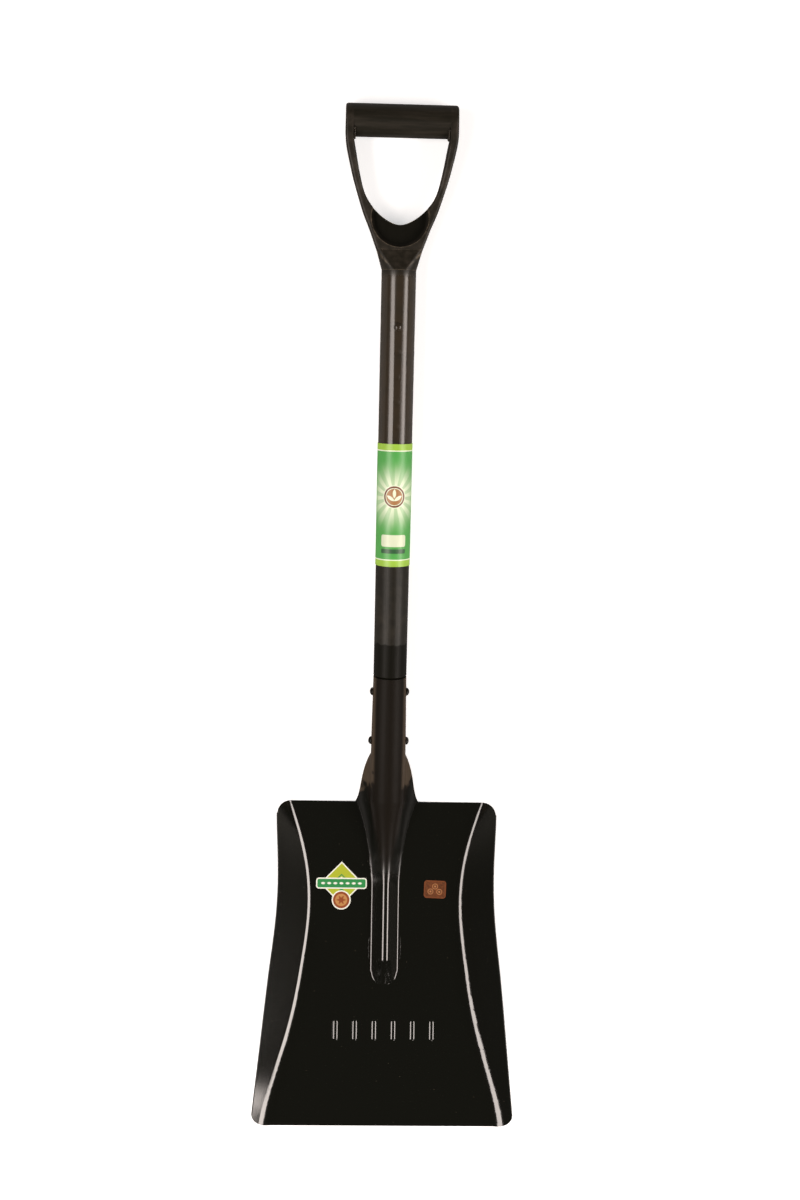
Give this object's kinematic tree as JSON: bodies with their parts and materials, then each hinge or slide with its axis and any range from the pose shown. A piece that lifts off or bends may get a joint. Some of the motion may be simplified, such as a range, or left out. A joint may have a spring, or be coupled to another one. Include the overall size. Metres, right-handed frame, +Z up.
{
  "type": "square mouth shovel",
  "caption": "All-steel square mouth shovel: pressed pan with turned-up sides, a rolled socket, a tubular shaft and a D-shaped handle with a crossbar grip, for lifting loose material",
  "frame": {"origin": "centre of the bounding box's bottom face, as the shovel lies on a floor on its heel and its grip", "axes": "+Y runs up the shaft to the grip, +Z is up and is the side that carries the load, +X is to the right for someone who looks at the load side with the grip at the top"},
  "size_m": [0.2686, 1.0208, 0.1013],
  "materials": {
    "blade_paint": "gloss",
    "handle_paint": "satin",
    "shaft_paint": "satin",
    "grip_paint": "satin",
    "weld_paint": "satin",
    "rivet_paint": "gloss",
    "label_film": "satin print",
    "diamond_film": "gloss print",
    "copper_film": "satin print"
  },
  "bodies": {
    "root": {"blade": "blade_paint", "handle_yoke": "handle_paint", "shaft_tube": "shaft_paint", "grip_tube": "grip_paint", "grip_weld_left": "weld_paint", "grip_weld_right": "weld_paint", "upper_socket_rivet": "rivet_paint", "lower_socket_rivet": "rivet_paint", "yoke_rivet": "rivet_paint", "shaft_label": "label_film", "diamond_sticker": "diamond_film", "copper_sticker": "copper_film"}
  },
  "joints": []
}
